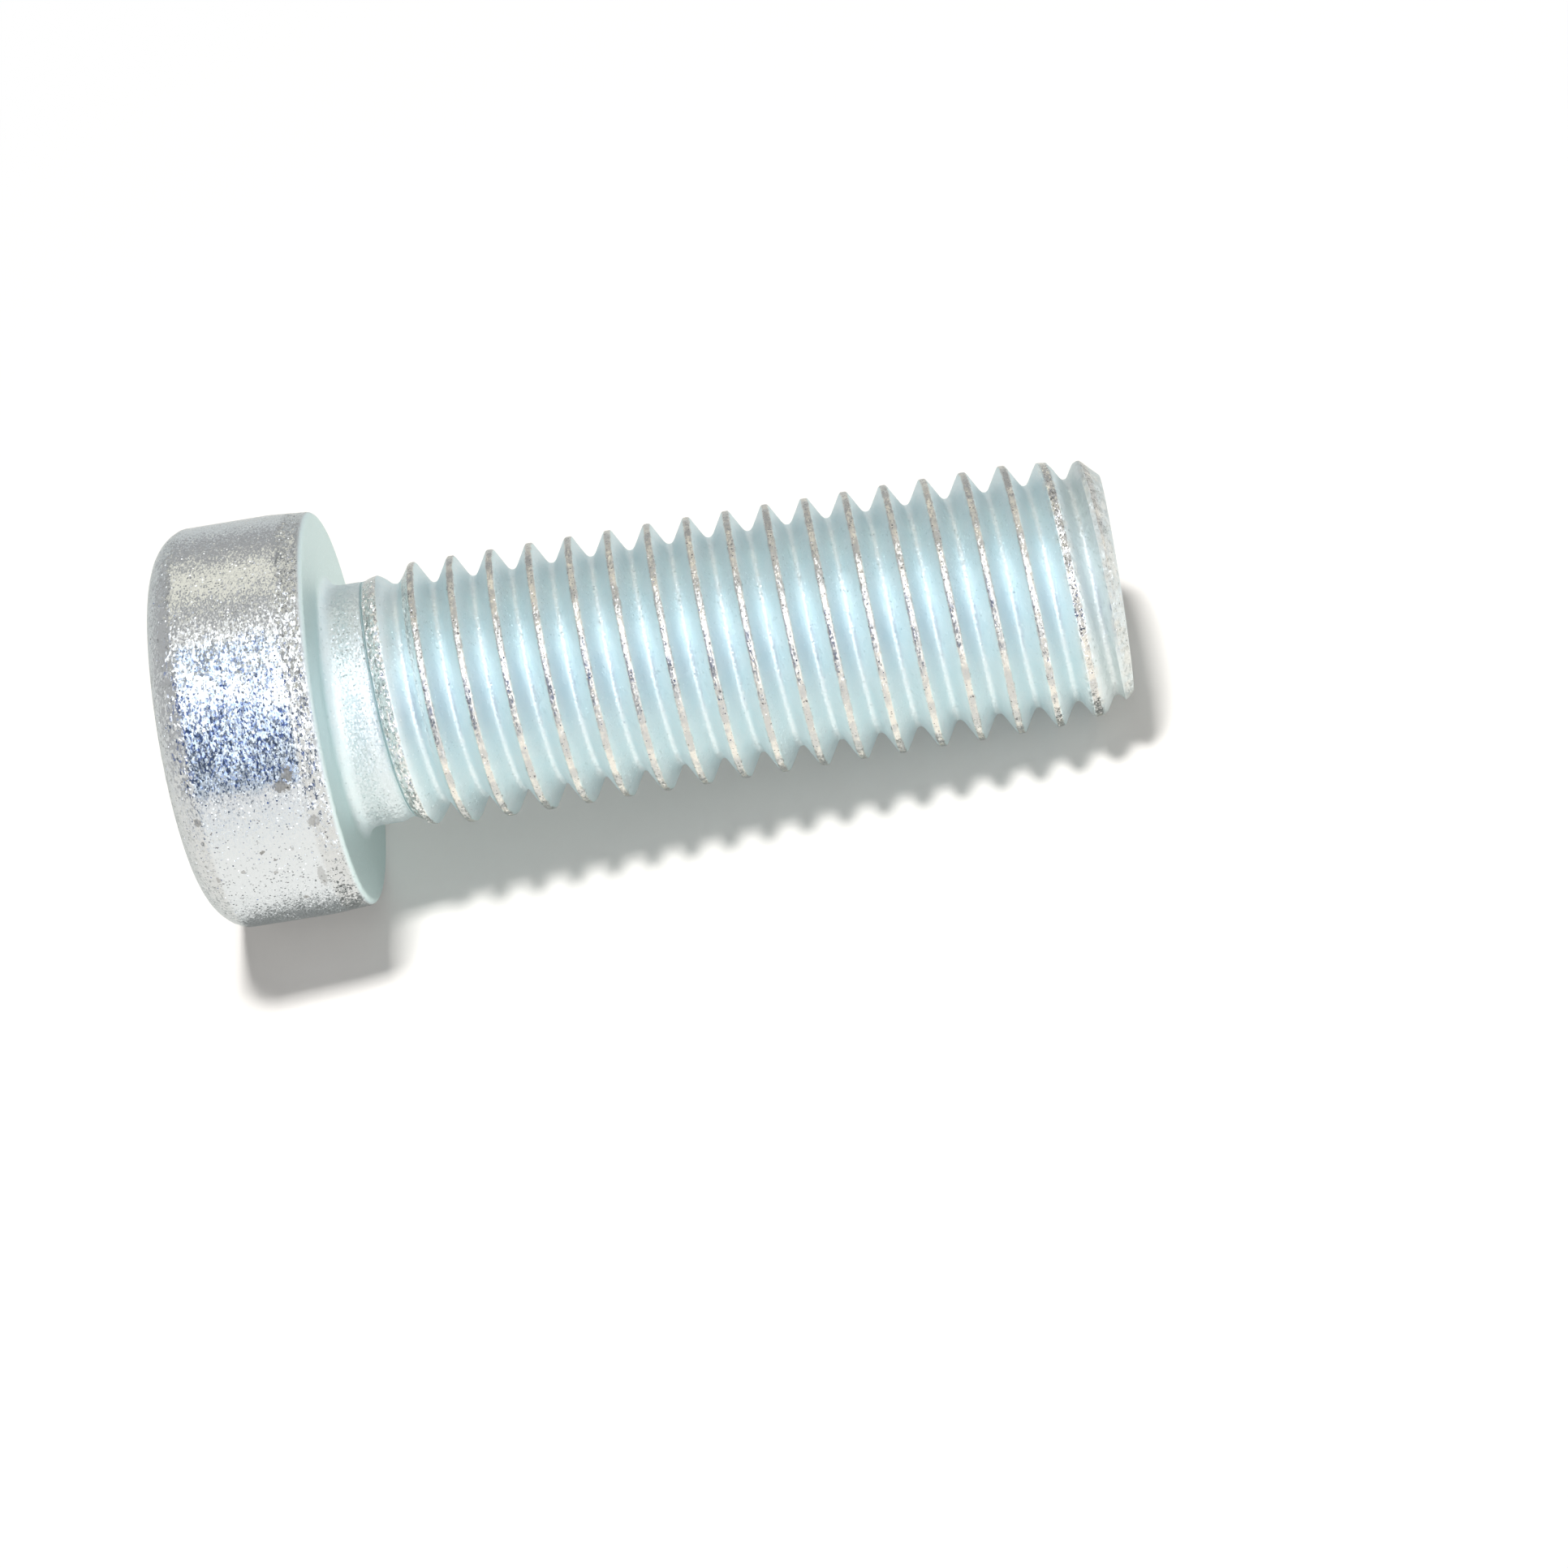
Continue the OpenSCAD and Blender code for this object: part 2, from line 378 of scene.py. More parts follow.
first_count = smooth_r.size
free = (height > NECK_L + RING_GAP) & (height < SHANK_L - RING_GAP)
thread_index = np.zeros(free.shape, int)
thread_index[free] = first_count + np.arange(free.sum())
columns = np.arange(COLUMNS)[None, :] + 0 * thread_index
neck_ring = (len(smooth_r) - 1) * COLUMNS
end_ring = first_count + free.sum()
low, high = height <= NECK_L + RING_GAP, height >= SHANK_L - RING_GAP
thread_index[low] = neck_ring + columns[low]
thread_index[high] = end_ring + columns[high]
smooth_index = np.arange(smooth_r.size).reshape(smooth_r.shape)
end_index = end_ring + np.arange(end_r.size).reshape(end_r.shape)
floor_pole = end_ring + end_r.size
end_pole = floor_pole + 1
print("points in all", end_pole + 1, "of them in the thread", free.sum())

# %% [markdown]
# Neighbouring points become faces. A face that lost a corner in the ring at the neck or at the end
# turns into a triangle, and one that lost two is left out. The two holes in the middle of the
# socket's floor and of the end are closed by fans of triangles.


# %% Faces
def wrapped(index, shift=0):
    """The same index grid with its first column repeated at the end, shift rows further on."""
    seam = np.concatenate([index[shift:, :1], index[len(index) - shift:, :1]])
    return np.concatenate([index, seam], axis=1)


def quads(index):
    """Faces of a grid: each point, the next column, the next column one row on, and back."""
    corner_grids = [index[:-1, :-1], index[:-1, 1:], index[1:, 1:], index[1:, :-1]]
    return np.stack(corner_grids, axis=-1).reshape(-1, 4)


def fan(centre, ring_index, outward):
    """Triangles from a centre to each side of a ring."""
    following = np.roll(ring_index, -1)
    pair = (ring_index, following) if outward else (following, ring_index)
    return np.stack([centre + 0 * ring_index, *pair], axis=-1)


faces = np.concatenate([
    quads(wrapped(smooth_index)),
    quads(wrapped(thread_index, len(levels))),
    quads(wrapped(end_index)),
])
same = faces == np.roll(faces, -1, axis=1)
lost = same.sum(axis=1)
triangles = faces[lost == 1][~same[lost == 1]].reshape(-1, 3)
whole = faces[lost == 0]
caps = np.concatenate([
    fan(floor_pole, smooth_index[0], outward=True),
    fan(end_pole, end_index[-1], outward=False),
])
print("whole faces", len(whole), "triangles", len(triangles) + len(caps))

# %% [markdown]
# Some places are easier to mark on the points than to find again in the material: the root of the
# thread, the socket and its torn mouth, and whatever the lead has cut. Each mark is one number per
# point, kept as an attribute of the mesh.

# %% Places and marks of the points
END_CUT = 0.3
CUT_FULL = 0.03

all_r = np.concatenate([smooth_r.ravel(), radius[free], end_r.ravel(), [0, 0]])
all_z = np.concatenate([
    smooth_z.ravel(), height[free], end_z.ravel(), [floor_z + FLOOR_DISH, SHANK_L],
])
all_a = np.concatenate([
    np.tile(azimuth, len(smooth_r)), (azimuth + 0 * radius)[free],
    np.tile(azimuth, len(end_r)), [0, 0],
])
socket_count = len(socket_rows) * COLUMNS
marks = {name: np.zeros(all_r.size) for name in ("root", "socket", "mouth", "cut")}
marks["root"][first_count:end_ring] = (root * climb)[free]
marks["socket"][:socket_count] = 1
marks["socket"][floor_pole] = 1
marks["mouth"][socket_count - MOUTH_ROWS * COLUMNS:socket_count] = 1
marks["cut"][first_count:end_ring] = np.clip(cut / CUT_FULL, 0, 1)[free]
marks["cut"][end_ring:end_ring + end_r.size] = END_CUT
for name, values in marks.items():
    print("the mark", name, "is set on", np.count_nonzero(values), "points")

# %% [markdown]
# Smooth shading hides the facets, and only edges that turn by more than the sharp angle show. The
# lowest points are kept on the floor.

# %% The mesh
SHARP = 38

points = place(np.stack([all_r * np.cos(all_a), all_r * np.sin(all_a), all_z], axis=-1))
points[:, 2] = np.maximum(points[:, 2], 0)

mesh = bpy.data.meshes.new("screw")
mesh.from_pydata(points.tolist(), [], whole.tolist() + triangles.tolist() + caps.tolist())
mesh.validate()
for name, values in marks.items():
    mesh.attributes.new(name, "FLOAT", "POINT").data.foreach_set("value", values)
mesh.shade_smooth()
mesh.set_sharp_from_angle(angle=np.radians(SHARP))
screw = bpy.data.objects.new("screw", mesh)
bpy.context.collection.objects.link(screw)
mesh.calc_loop_triangles()
print("points", len(mesh.vertices), "triangles", len(mesh.loop_triangles))

# %% [markdown]
# ## Writing shader maths as Python
#
# A material is a graph of nodes. Written node by node it is hard to read, so a small class stands
# for one wire of that graph and lets + - * / and ** add the Math nodes. Any other node comes from
# its method node, and the rest of its methods are the few nodes that are used again and again.


# %% A wire of a material
class Wire:
    """A value on its way through a node tree. Its operators add Math nodes."""

    def __init__(self, tree, socket=None):
        self.tree, self.socket = tree, socket

    def node(self, kind, settings=None, sockets=None, output=0):
        """Adds a node: its settings first, then values or links of its sockets. Gives an output."""
        made = self.tree.nodes.new(kind)
        for name, value in (settings or {}).items():
            setattr(made, name, value)
        for name, value in (sockets or {}).items():
            if isinstance(value, Wire):
                self.tree.links.new(value.socket, made.inputs[name])
            else:
                made.inputs[name].default_value = value
        return Wire(self.tree, made.outputs[output] if made.outputs else None)

    def math(self, operation, *others):
        """A Math node with this value in its first socket and the others in the next ones."""
        sockets = dict(enumerate((self, *others)))
        return self.node("ShaderNodeMath", {"operation": operation}, sockets)

    def swapped(self, operation, first):
        """A Math node with this value in its second socket."""
        return self.node("ShaderNodeMath", {"operation": operation}, {0: first, 1: self})

    def __add__(self, other):
        return self.math("ADD", other)

    def __sub__(self, other):
        return self.math("SUBTRACT", other)

    def __rsub__(self, other):
        return self.swapped("SUBTRACT", other)

    def __mul__(self, other):
        return self.math("MULTIPLY", other)

    def __truediv__(self, other):
        return self.math("DIVIDE", other)

    def __rtruediv__(self, other):
        return self.swapped("DIVIDE", other)

    def __pow__(self, other):
        return self.math("POWER", other)

    __radd__, __rmul__ = __add__, __mul__

    def vector(self, operation, *values, **sockets):
        """Vector Math on two vectors, or on one and a plain number in the socket Scale."""
        sockets = {**dict(enumerate(values)), **sockets}
        return self.node("ShaderNodeVectorMath", {"operation": operation}, sockets)

    def mix(self, factor, first, second):
        """A colour between two others. 6 and 7 are the colour inputs of a Mix node."""
        sockets = {0: factor, 6: first, 7: second}
        return self.node("ShaderNodeMix", {"data_type": "RGBA"}, sockets, output=2)

    def step(self, low, high, first=0.0, last=1.0):
        """A smooth step of this value from first to last, while it goes from low to high."""
        sockets = {0: self, 1: low, 2: high, 3: first, 4: last}
        return self.node("ShaderNodeMapRange", {"interpolation_type": "SMOOTHSTEP"}, sockets)

    def noise(self, vector, scale, detail, roughness):
        """Cloudy noise between 0 and 1, at so many clouds to a unit of the vector."""
        return self.node("ShaderNodeTexNoise", None, {
            "Vector": vector, "Scale": scale, "Detail": detail, "Roughness": roughness})


def rgb(r, g, b):
    """A colour for a socket: linear red, green and blue, and full alpha."""
    return (r, g, b, 1.0)


print("a wire has the methods", [name for name in vars(Wire) if not name.startswith("_")])

# %% [markdown]
# ## A ruler inside the material
#
# The material reads Object coordinates, which are metres from the point on the floor. A Mapping
# node turns them into the millimetres of the screw's own frame, so everything below can be said
# with the heights, radii and azimuths that made the shape.

# %% Where a point of the screw is
zinc = bpy.data.materials.new("blue_zinc")
zinc.use_nodes = True
zinc.node_tree.nodes.clear()
start = Wire(zinc.node_tree)

screw_axes = np.array([up, across, axis])
object_place = start.node("ShaderNodeTexCoord", output="Object")
spot = start.node("ShaderNodeMapping", None, {
    "Vector": object_place, "Scale": (1 / MM, 1 / MM, 1 / MM),
    "Rotation": Matrix(screw_axes).to_euler(), "Location": Vector(-(screw_axes @ origin) / MM)})
split = start.node("ShaderNodeSeparateXYZ", None, {0: spot}).socket.node.outputs
x, y, z = (Wire(zinc.node_tree, out) for out in split)
reach = (x * x + y * y) ** 0.5
around = y.math("ARCTAN2", x)
print("the bearing face lies at", np.round(origin / MM, 2), "mm of the world")

# %% [markdown]
# ## Which part is which
#
# A weight is 1 on one part of the screw and 0 off it, with a soft edge between. The parts that
# differ on the real screw are the side of the head with its chamfer, a strip along the rim that the
# press has scuffed, the two flat faces, the neck, the socket and the torn scallops of its mouth.
# Heights z and distances from the axis, called reach, are in millimetres.


# %% Weights of the head, the faces, the neck and the socket
def mark(name):
    """A weight that was stored on the points of the mesh."""
    return start.node("ShaderNodeAttribute", {"attribute_name": name}, output="Fac")


root_w, socket_w, mouth_w, cut_w = (mark(name) for name in marks)
patches = start.noise(spot, 1.1, 3.0, 0.6)
grain = start.noise(spot, 7.0, 2.0, 0.7)

side_w = reach.step(8.3, 8.7) * z.step(-0.1, -0.3)
chamfer_w = z.step(-5.5, -5.8) * reach.step(7.5, 7.8)
rim_w = side_w * (z + patches * 0.5).step(-1.05, -0.75)
head_w = side_w.math("MAXIMUM", chamfer_w)
face_w = z.step(-6.7, -6.95) * reach.step(4.4, 4.6) * (1 - chamfer_w)
bearing_w = z.step(-0.2, 0.0) * reach.step(5.6, 6.0)
neck_w = reach.step(5.62, 5.5) * z.step(0.3, 0.7) * z.step(2.3, 1.9)
print("the mesh carries the weights", list(marks))

# %% [markdown]
# ## Along the thread
#
# Unwinding a thread means taking one pitch off the height for every turn. A modulo folds what is
# left into one pitch, and that number says where in the profile a point lies. Near the crest the
# plating is rubbed off. In the run-out the dies have folded the steel over itself: that leaves a
# thin dark line and, above it, a rough ridge.

# %% Weights of the crests, the ridge and the tip
RUBBED_FROM = 0.11
RUBBED_TO = 0.18

unwound = z - around * (PITCH / (2 * np.pi)) + (CREST_W / 2 - THREAD_PHASE)
climbed = unwound.math("FLOORED_MODULO", PITCH)
from_crest = (climbed - CREST_W / 2).math("ABSOLUTE")
from_crest = from_crest.math("MINIMUM", PITCH - from_crest)
ragged = (patches - 0.5) * 0.16 + (grain - 0.5) * 0.10

worn_w = (from_crest + ragged).step(RUBBED_TO, RUBBED_FROM)
worn_w = worn_w * z.step(2.9, 3.3) * reach.step(5.0, 5.3)
uneven = climbed + ragged
in_runout = z.step(1.75, 1.95) * z.step(4.3, 3.7) * reach.step(5.2, 5.34)
ridge_w = uneven.step(1.38, 1.46).math("MAXIMUM", uneven.step(0.32, 0.24)) * in_runout
line = climbed + ragged * 0.2
lap_w = line.step(1.27, 1.31) * line.step(1.40, 1.35) * z.step(1.5, 1.7) * z.step(3.6, 3.2)
tip_w = z.step(SHANK_L - 2.6, SHANK_L - 0.9)
print("the crests are rubbed over about", RUBBED_FROM + RUBBED_TO, "mm")

# %% [markdown]
# ## Blue zinc
#
# Zinc is a pale grey metal, and the passivation on it is a clear film so thin that it tints what
# it reflects. Light that bounces from flank to flank is tinted again and again, so a metal that is
# only faintly blue turns clearly blue in the thread and in the socket, as on the real screw.
# The head is a duller grey, and the rubbed crests are beige with paler patches.
#
# Along one strip of the side of the head the crystals are livelier. There the colour is painted
# darker, darker still in its lower part, and flecked with blue: a painted reflection of the room's
# dark band and of blue glints. Below that strip the grey is a little darker and bluer. Both strips
# have wavy edges.

# %% Strips of the head
LIVELY_PAINTED_FROM = (0.34, 0.46)
LIVELY_PAINTED_TO = (1.17, 1.09)

strip = around + (patches - 0.5) * 0.16
low_w = strip.step(1.15, 1.35) * strip.step(2.6, 2.2)
# Painted reflection: this strip tilts the crystals more and gets a painted darker colour below.
lively_painted_reflection = strip.step(*LIVELY_PAINTED_FROM) * strip.step(*LIVELY_PAINTED_TO) * side_w
# Painted reflection: blue flecks painted into the strip's colour in place of blue glints.
painted_blue_flecks = grain.step(0.47, 0.60) * lively_painted_reflection * patches.step(0.35, 0.55)
rough_strip_w = rim_w.math("MAXIMUM", chamfer_w)
lively_painted_width = (np.mean(LIVELY_PAINTED_TO) - np.mean(LIVELY_PAINTED_FROM)) * HEAD_R
print("the lively strip is", round(lively_painted_width, 1), "mm wide")

# %% [markdown]
# Every part now lays its colour over the ones before, by its weight. Where a weight is below 1 the
# colour underneath still shows, which keeps the parts from looking cut out.

# %% Colours of the plating
colour = start.mix(patches.step(0.35, 0.65), rgb(0.800, 0.915, 0.935), rgb(0.825, 0.92, 0.935))
colour = start.mix(socket_w, colour, rgb(0.66, 0.83, 0.90))
colour = start.mix(mouth_w, colour, rgb(0.84, 0.88, 0.90))
colour = start.mix(neck_w * 0.7, colour, rgb(0.76, 0.82, 0.835))
colour = start.mix(tip_w * 0.8, colour, rgb(0.77, 0.82, 0.81))
colour = start.mix(bearing_w, colour, rgb(0.74, 0.87, 0.86))
colour = start.mix(face_w, colour, rgb(0.70, 0.75, 0.775))
head_colour = start.mix(low_w, rgb(0.745, 0.765, 0.77), rgb(0.71, 0.75, 0.77))
colour = start.mix(head_w, colour, head_colour)
# Painted reflection: the strip is painted darker, darker still in its lower part, and flecked with
# blue.
colour = start.mix(lively_painted_reflection, colour, rgb(0.62, 0.67, 0.70))
colour = start.mix(lively_painted_reflection * strip.step(0.66, 0.88), colour, rgb(0.50, 0.56, 0.62))
colour = start.mix(painted_blue_flecks * 0.8, colour, rgb(0.38, 0.50, 0.78))
colour = start.mix(rough_strip_w, colour, rgb(0.66, 0.68, 0.68))
colour = start.mix(lap_w * 0.7, colour, rgb(0.40, 0.56, 0.58))
colour = start.mix(ridge_w * 0.85, colour, rgb(0.90, 0.89, 0.86))
rubbed = start.mix(patches.step(0.42, 0.62), rgb(0.62, 0.62, 0.60), rgb(0.84, 0.81, 0.74))
bare_w = worn_w.math("MAXIMUM", cut_w * patches.step(0.40, 0.62) * 0.45)
colour = start.mix(bare_w, colour, rubbed)
print("nodes so far:", len(zinc.node_tree.nodes))

# %% [markdown]
# ## Pits and dirt
#
# The plating has small pits, most of them where the screw was rubbed and low on the side of the
# head. Some dirt has stuck there too. Each stain is a small ellipse with a ragged edge, and the
# table says where it sits: its height and azimuth, its half sizes and how dark it is.

# %% Pits and stains
STAINS = [
    (-1.63, 1.09, 0.22, 0.34, 0.85), (-1.98, 1.15, 0.34, 0.30, 0.85),
    (-1.02, 1.36, 0.22, 0.28, 0.55), (-5.84, 1.27, 0.16, 0.22, 0.60),
    (-3.48, 1.49, 0.12, 0.09, 0.80), (-3.22, 1.64, 0.10, 0.12, 0.50),
    (-2.37, 1.89, 0.13, 0.16, 0.60), (-1.35, 1.73, 0.18, 0.80, 0.40),
    (-5.68, 1.63, 0.12, 0.14, 0.50), (-4.56, 1.60, 0.09, 0.11, 0.50),
    (-5.86, 1.39, 0.10, 0.14, 0.50), (-2.21, 1.49, 0.09, 0.12, 0.40),
]
specks = start.noise(spot, 4.0, 2.0, 0.6)
pits = specks.step(0.34, 0.25) * (worn_w + ridge_w + rough_strip_w * 0.4)
pits = pits + specks.step(0.33, 0.27) * side_w * low_w * 0.8
pits = pits + specks.step(0.25, 0.20) * face_w * 0.5
colour = start.mix(pits.math("MINIMUM", 1.0), colour, rgb(0.22, 0.21, 0.21))

stained = 0.0
for height_mm, azimuth_rad, half_height, half_width, dark in STAINS:
    away_z = (z - height_mm) / half_height
    away_a = (around - azimuth_rad) * (HEAD_R / half_width)
    away = (away_z * away_z + away_a * away_a) ** 0.5
    away = away + (patches - 0.5) * 0.8 + (grain - 0.5) * 2.2
    stained = away.step(1.10, 0.80, 0.0, dark) + stained
stained = (stained * side_w).math("MINIMUM", 0.8)
colour = start.mix(stained, colour, rgb(0.30, 0.29, 0.27))
print("stains on the head:", len(STAINS))

# %% [markdown]
# ## Crystals
#
# Zinc grows as crystals, and each one turns the surface a little its own way, which is what makes
# the head glitter. A Voronoi texture gives every cell one random colour. Less its middle value and
# times a small amount, that colour is a vector that tilts the normal, so a whole cell mirrors one
# spot of the room. The side of the head glitters most along one strip; the faces hardly do.


# %% Helpers for crystals
def cells(vector, scale):
    """For each Voronoi cell a small vector, its colour less 0.5, and for each point the distance
    from the middle of its cell."""
    drawn = start.node("ShaderNodeTexVoronoi", None, {"Vector": vector, "Scale": scale}, "Color")
    distance = Wire(drawn.tree, drawn.socket.node.outputs["Distance"])
    return start.vector("SUBTRACT", drawn, (0.5, 0.5, 0.5)), distance


def tilt(vector, scale, amount):
    """The small vectors of such cells, times the amount."""
    return start.vector("SCALE", cells(vector, scale)[0], Scale=amount)


print("crystals can be scattered and tilted")

# %% [markdown]
# Four sizes of crystals lie over one another, given as cells to a millimetre. Of the last ones, the
# sparks, only the middles are tilted. On the neck and in the socket, where steel has slid along
# steel, a fifth set is drawn out along the axis.

# %% Tilt the crystals
FINE = 11.0
MEDIUM = 6.5
COARSE = 4.0
SPARKS = 7.0
DRAG = 18.0

flat_spot = start.vector("MULTIPLY", spot, (1.0, 1.0, 1.7))
long_spot = start.vector("MULTIPLY", spot, (1.0, 1.0, 0.08))

fine_w = head_w * 0.14 + worn_w * 0.22 + root_w * 0.3 + ridge_w * 0.6
fine_w = fine_w + neck_w * 0.34 + cut_w * 0.35 + 0.07
fine = tilt(flat_spot, FINE, fine_w)
medium_w = side_w * 0.12 + lively_painted_reflection * (patches.step(0.40, 0.60) * 0.28 + 0.14)
medium_w = medium_w + rough_strip_w * 0.35 + ridge_w * 0.8
medium = tilt(flat_spot, MEDIUM, medium_w)
coarse_w = rim_w * 0.45 + worn_w * 0.18 + ridge_w * 0.5
coarse_w = coarse_w + tip_w * 0.18 + mouth_w * 0.6 + cut_w * 0.35
coarse = tilt(flat_spot, COARSE, coarse_w)
drag = tilt(long_spot, DRAG, neck_w * 0.10 + socket_w * 0.12)
sparks, away = cells(spot, SPARKS)
glint = away.step(0.34, 0.22)
sparks_w = glint * (head_w + worn_w * 0.3 + neck_w * 0.3 + 0.5) * 1.2
sparks = start.vector("SCALE", sparks, Scale=sparks_w)

facing = start.node("ShaderNodeNewGeometry", output="Normal")
for turned in (fine, medium, coarse, drag, sparks):
    facing = start.vector("ADD", facing, turned)
facing = start.vector("NORMALIZE", facing)
print("fine crystals are", round(1 / FINE, 3), "mm wide and coarse ones", 1 / COARSE, "mm")

# %% [markdown]
# ## The shader
#
# All of it is one metal. Its roughness is lowest on the head, where the crystals must stay crisp,
# and highest on the flanks, which are satin; each spark is a little smoother than what is round it.
# The bump gives depth to the pits and the dark line: its relief is in millimetres.
# The specular tint dims the metal where it is seen at a very flat angle, as a dull film does.

# %% The zinc shader
RELIEF = 0.008

rough = 0.50 - worn_w * 0.18 - head_w * 0.26 - ridge_w * 0.18 - cut_w * 0.12
rough = rough - face_w * 0.06 - socket_w * 0.14 + tip_w * 0.04 + stained * 0.35 - glint * 0.15
relief = grain * (worn_w + rough_strip_w + mouth_w * 2.0 + 0.15) - lap_w * 6.0 - pits * 2.0
bump = start.node("ShaderNodeBump", None, {
    "Strength": 1.0, "Distance": RELIEF * MM, "Height": relief, "Normal": facing})
shader = start.node("ShaderNodeBsdfPrincipled", None, {
    "Base Color": colour, "Metallic": 1.0, "Roughness": rough, "Normal": bump,
    "Specular Tint": rgb(0.67, 0.71, 0.72)})
start.node("ShaderNodeOutputMaterial", None, {"Surface": shader})
screw.data.materials.append(zinc)
print("nodes in the material:", len(zinc.node_tree.nodes))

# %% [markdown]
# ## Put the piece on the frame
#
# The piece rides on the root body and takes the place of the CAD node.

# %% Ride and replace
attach(screw, "root")
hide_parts("cap_screw")
print("the screw rides on root")

# %% [markdown]
# ## The floor
#
# The floor is white paper. Near the screw it is lit, so that it carries the shadow, and glows a
# little. Further off it only glows, at exactly 1, so that it runs into the white background.
# The light path says who is looking: the glow is for the camera and for rays that a metal or a
# glass sends out, and it lights nothing.


# %% White paper
def watched(tree):
    """1 for camera, glossy and transmission rays, 0 for the rays that light things."""
    rays = Wire(tree).node("ShaderNodeLightPath").socket.node.outputs
    names = ("Is Camera Ray", "Is Glossy Ray", "Is Transmission Ray")
    camera_ray, glossy, through = (Wire(tree, rays[name]) for name in names)
    return camera_ray, (camera_ray + glossy + through).math("MINIMUM", 1.0)


FLOOR_SIZE = 1.5
LIT_TO = 0.030
WHITE_FROM = 0.075
NEAR_GLOW = 0.12

floor_mesh = bpy.data.meshes.new("floor")
corners = np.array([(-1, -1, 0), (1, -1, 0), (1, 1, 0), (-1, 1, 0)]) * FLOOR_SIZE
floor_mesh.from_pydata(corners.tolist(), [], [(0, 1, 2, 3)])
floor = bpy.data.objects.new("floor", floor_mesh)
bpy.context.collection.objects.link(floor)

paper = bpy.data.materials.new("white_paper")
paper.use_nodes = True
paper.node_tree.nodes.clear()
sheet = Wire(paper.node_tree)
seen = watched(paper.node_tree)[1]
floor_place = sheet.node("ShaderNodeTexCoord", output="Object")
far = Wire(sheet.tree, sheet.vector("LENGTH", floor_place).socket.node.outputs["Value"])
far_w = far.step(LIT_TO, WHITE_FROM)
matte_colour = sheet.mix(far_w, rgb(0.82, 0.79, 0.755), rgb(0, 0, 0))
matte = sheet.node("ShaderNodeBsdfDiffuse", None, {"Color": matte_colour})
strength = seen * (far_w * (1 - NEAR_GLOW) + NEAR_GLOW)
glow = sheet.node("ShaderNodeEmission", None, {"Color": rgb(1, 1, 1), "Strength": strength})
both = sheet.node("ShaderNodeAddShader", None, {0: matte, 1: glow})
sheet.node("ShaderNodeOutputMaterial", None, {"Surface": both})
floor_mesh.materials.append(paper)
print("the floor reaches", FLOOR_SIZE, "m each way")

# %% [markdown]
# ## The room
#
# Bright metal shows what is round it more than itself, so the room matters as much as the finish.
# The screw is nearly a mirror cylinder, and each height on it shows one elevation of the room, so
# the photo of the real screw tells what stood round it. A direction of the room is given by its
# elevation, from the front, where the camera is, over the top to the back, and by tx, which is
# positive towards the head of the screw and negative towards the end of its thread.

# %% Directions of the room
world = bpy.data.worlds.new("studio")
bpy.context.scene.world = world
world.use_nodes = True
world.node_tree.nodes.clear()
sky = Wire(world.node_tree)
camera_ray, seen = watched(world.node_tree)
toward = sky.node("ShaderNodeTexCoord", output="Generated")
way = sky.node("ShaderNodeSeparateXYZ", None, {0: toward}).socket.node.outputs
tx, ty, tz = (Wire(world.node_tree, out) for out in way)
over = tz.math("ARCTAN2", ty) * (180 / np.pi)
aside = tx.math("ABSOLUTE")


def panel(lowest, highest, edge):
    """1 between two elevations, in degrees from the front over the top, with soft edges."""
    return over.step(lowest, lowest + edge) * over.step(highest, highest - edge)


print("a direction has", len(way), "parts, and nodes so far:", len(world.node_tree.nodes))

# %% [markdown]
# In front is a bright wall, bluer at its sides, and behind is a grey ceiling. Overhead hang two
# cream panels with a darker strip between them and a narrow blue gap before the first. They make
# the bands across the top of the head. Each line of the table is one of them: the elevations where
# it starts and ends, how soft its edges are, and its colour.

# %% Front, ceiling and panels
PANELS = [
    (100, 122, 6, rgb(0.32, 0.335, 0.37)),
    (84, 91, 3, rgb(0.25, 0.32, 0.60)),
    (88, 104, 4, rgb(1.10, 1.07, 0.98)),
    (118, 148, 6, rgb(1.12, 1.09, 0.96)),
]
middle_w = aside.step(0.5, 0.3)
room = sky.mix(aside.step(0.34, 0.42), rgb(0.95, 0.97, 1.0), rgb(0.52, 0.60, 0.78))
room = sky.mix(over.step(84, 90), room, rgb(0.46, 0.46, 0.47))
for lowest, highest, edge, panel_colour in PANELS:
    room = sky.mix(panel(lowest, highest, edge) * middle_w, room, panel_colour)
print("panels overhead:", len(PANELS))

# %% [markdown]
# The two sides differ. Towards the head stands a dark blue one, which draws the dark band across
# the head. Towards the end of the thread stands a bright one with a window low in it. Its light
# bounces from flank to flank and comes back out of the grooves, which makes them glow.

# %% The dark side and the bright side
bright_side = over.step(-6, 6) * over.step(120, 50) * tx.step(0.03, -0.13)
window = over.step(-2, 14) * over.step(66, 44) * tx.step(-0.02, -0.14) * tx.step(-0.80, -0.60)
dark_side = panel(7, 58, 8) * tx.step(-0.05, 0.06) * tx.step(0.80, 0.55)
dark_blue = sky.mix(over.step(28, 42), rgb(0.035, 0.06, 0.11), rgb(0.10, 0.18, 0.52))

room = sky.mix(bright_side, room, rgb(1.30, 1.32, 1.35))
room = sky.mix(tx.step(-0.45, -0.65), room, rgb(0.88, 0.88, 0.88))
room = sky.mix(window, room, rgb(1.85, 1.87, 1.90))
room = sky.mix(tx.step(0.45, 0.65), room, rgb(0.60, 0.60, 0.61))
room = sky.mix(dark_side, room, dark_blue)
print("nodes of the room:", len(world.node_tree.nodes))

# %% [markdown]
# The camera itself sees plain white in place of the room, and so the picture has a white
# background. Rays that light things get one plain grey, which fills the shadow a little.

